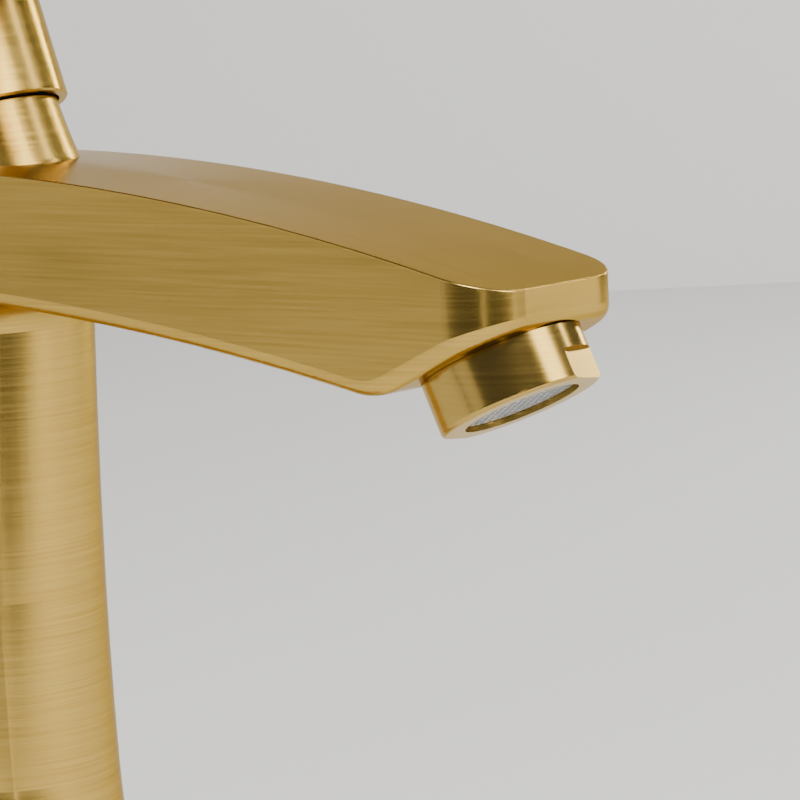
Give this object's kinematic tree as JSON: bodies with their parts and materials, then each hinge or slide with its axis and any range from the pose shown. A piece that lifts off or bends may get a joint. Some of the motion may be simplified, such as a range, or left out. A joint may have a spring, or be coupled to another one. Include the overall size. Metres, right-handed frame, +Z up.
{
  "type": "basin mixer tap",
  "caption": "Single-hole, single-lever basin mixer: turned column, fixed flat spout, forward-leaning aerator, hub with a flat lever, deck clamp.",
  "frame": {"origin": "where the axis of the shank's bore crosses the deck plane, at the centre of the round foot", "axes": "+Z up along the column, -Y towards the spout, +X to the spout's left as seen from the front"},
  "size_m": [0.05, 0.1551, 0.2723],
  "materials": {
    "brushed_gold": "satin brushed brass colour over cast brass",
    "polished_gold": "bright brass colour, finely turned",
    "bare_brass": "machined, unplated",
    "zinc_steel": "zinc plated",
    "black_rubber": "matt moulded",
    "black_plastic": "fine matt",
    "white_plastic": "moulded acetal",
    "grey_plastic": "moulded acetal",
    "red_plastic": "moulded acetal",
    "index_plastic": "gloss",
    "alumina": "lapped"
  },
  "bodies": {
    "root": {"body_casting": "brushed_gold", "base_gasket": "black_rubber", "mounting_shank": "bare_brass", "rubber_washer": "black_rubber", "clamp_washer": "zinc_steel", "mounting_nut": "bare_brass", "jack_screws": "zinc_steel", "cartridge_base": "white_plastic", "inlet_seals": "black_rubber", "fixed_disc": "alumina", "cartridge_housing": "white_plastic", "housing_seal": "black_rubber", "retaining_nut": "bare_brass", "dome_cap": "black_plastic", "aerator_housing": "polished_gold", "aerator_insert": "white_plastic", "outlet_screen": "grey_plastic", "flow_regulator": "grey_plastic", "aerator_gasket": "black_rubber"},
    "rotor": {"spindle_holder": "white_plastic", "rotor_seal": "black_rubber", "limit_ring": "red_plastic", "lever_pin": "zinc_steel"},
    "lever": {"spindle": "bare_brass", "lever_handle": "brushed_gold", "socket_insert": "white_plastic", "set_screw": "zinc_steel", "index_plug": "index_plastic"},
    "slider": {"moving_disc": "alumina", "disc_seal": "black_rubber", "disc_carrier": "white_plastic"}
  },
  "joints": [
    {"name": "handle_swivel", "type": "hinge", "parent": "root", "child": "rotor", "pos_m": [0, 0.00096, 0.1524], "axis": [0, 0.309, 0.9511], "range_deg": [-45, 45]},
    {"name": "handle_lift", "type": "hinge", "parent": "rotor", "child": "lever", "pos_m": [0, -0.00151, 0.14479], "axis": [-1, 0, 0], "range_deg": [-11, 13]},
    {"name": "disc_slide", "type": "slide", "parent": "rotor", "child": "slider", "axis": [0, -0.9511, 0.309], "range_m": [-0.002, 0.0024]}
  ],
  "couplings": [
    {"joint": "disc_slide", "follows": "handle_lift", "m_per_rad": 0.00985}
  ]
}
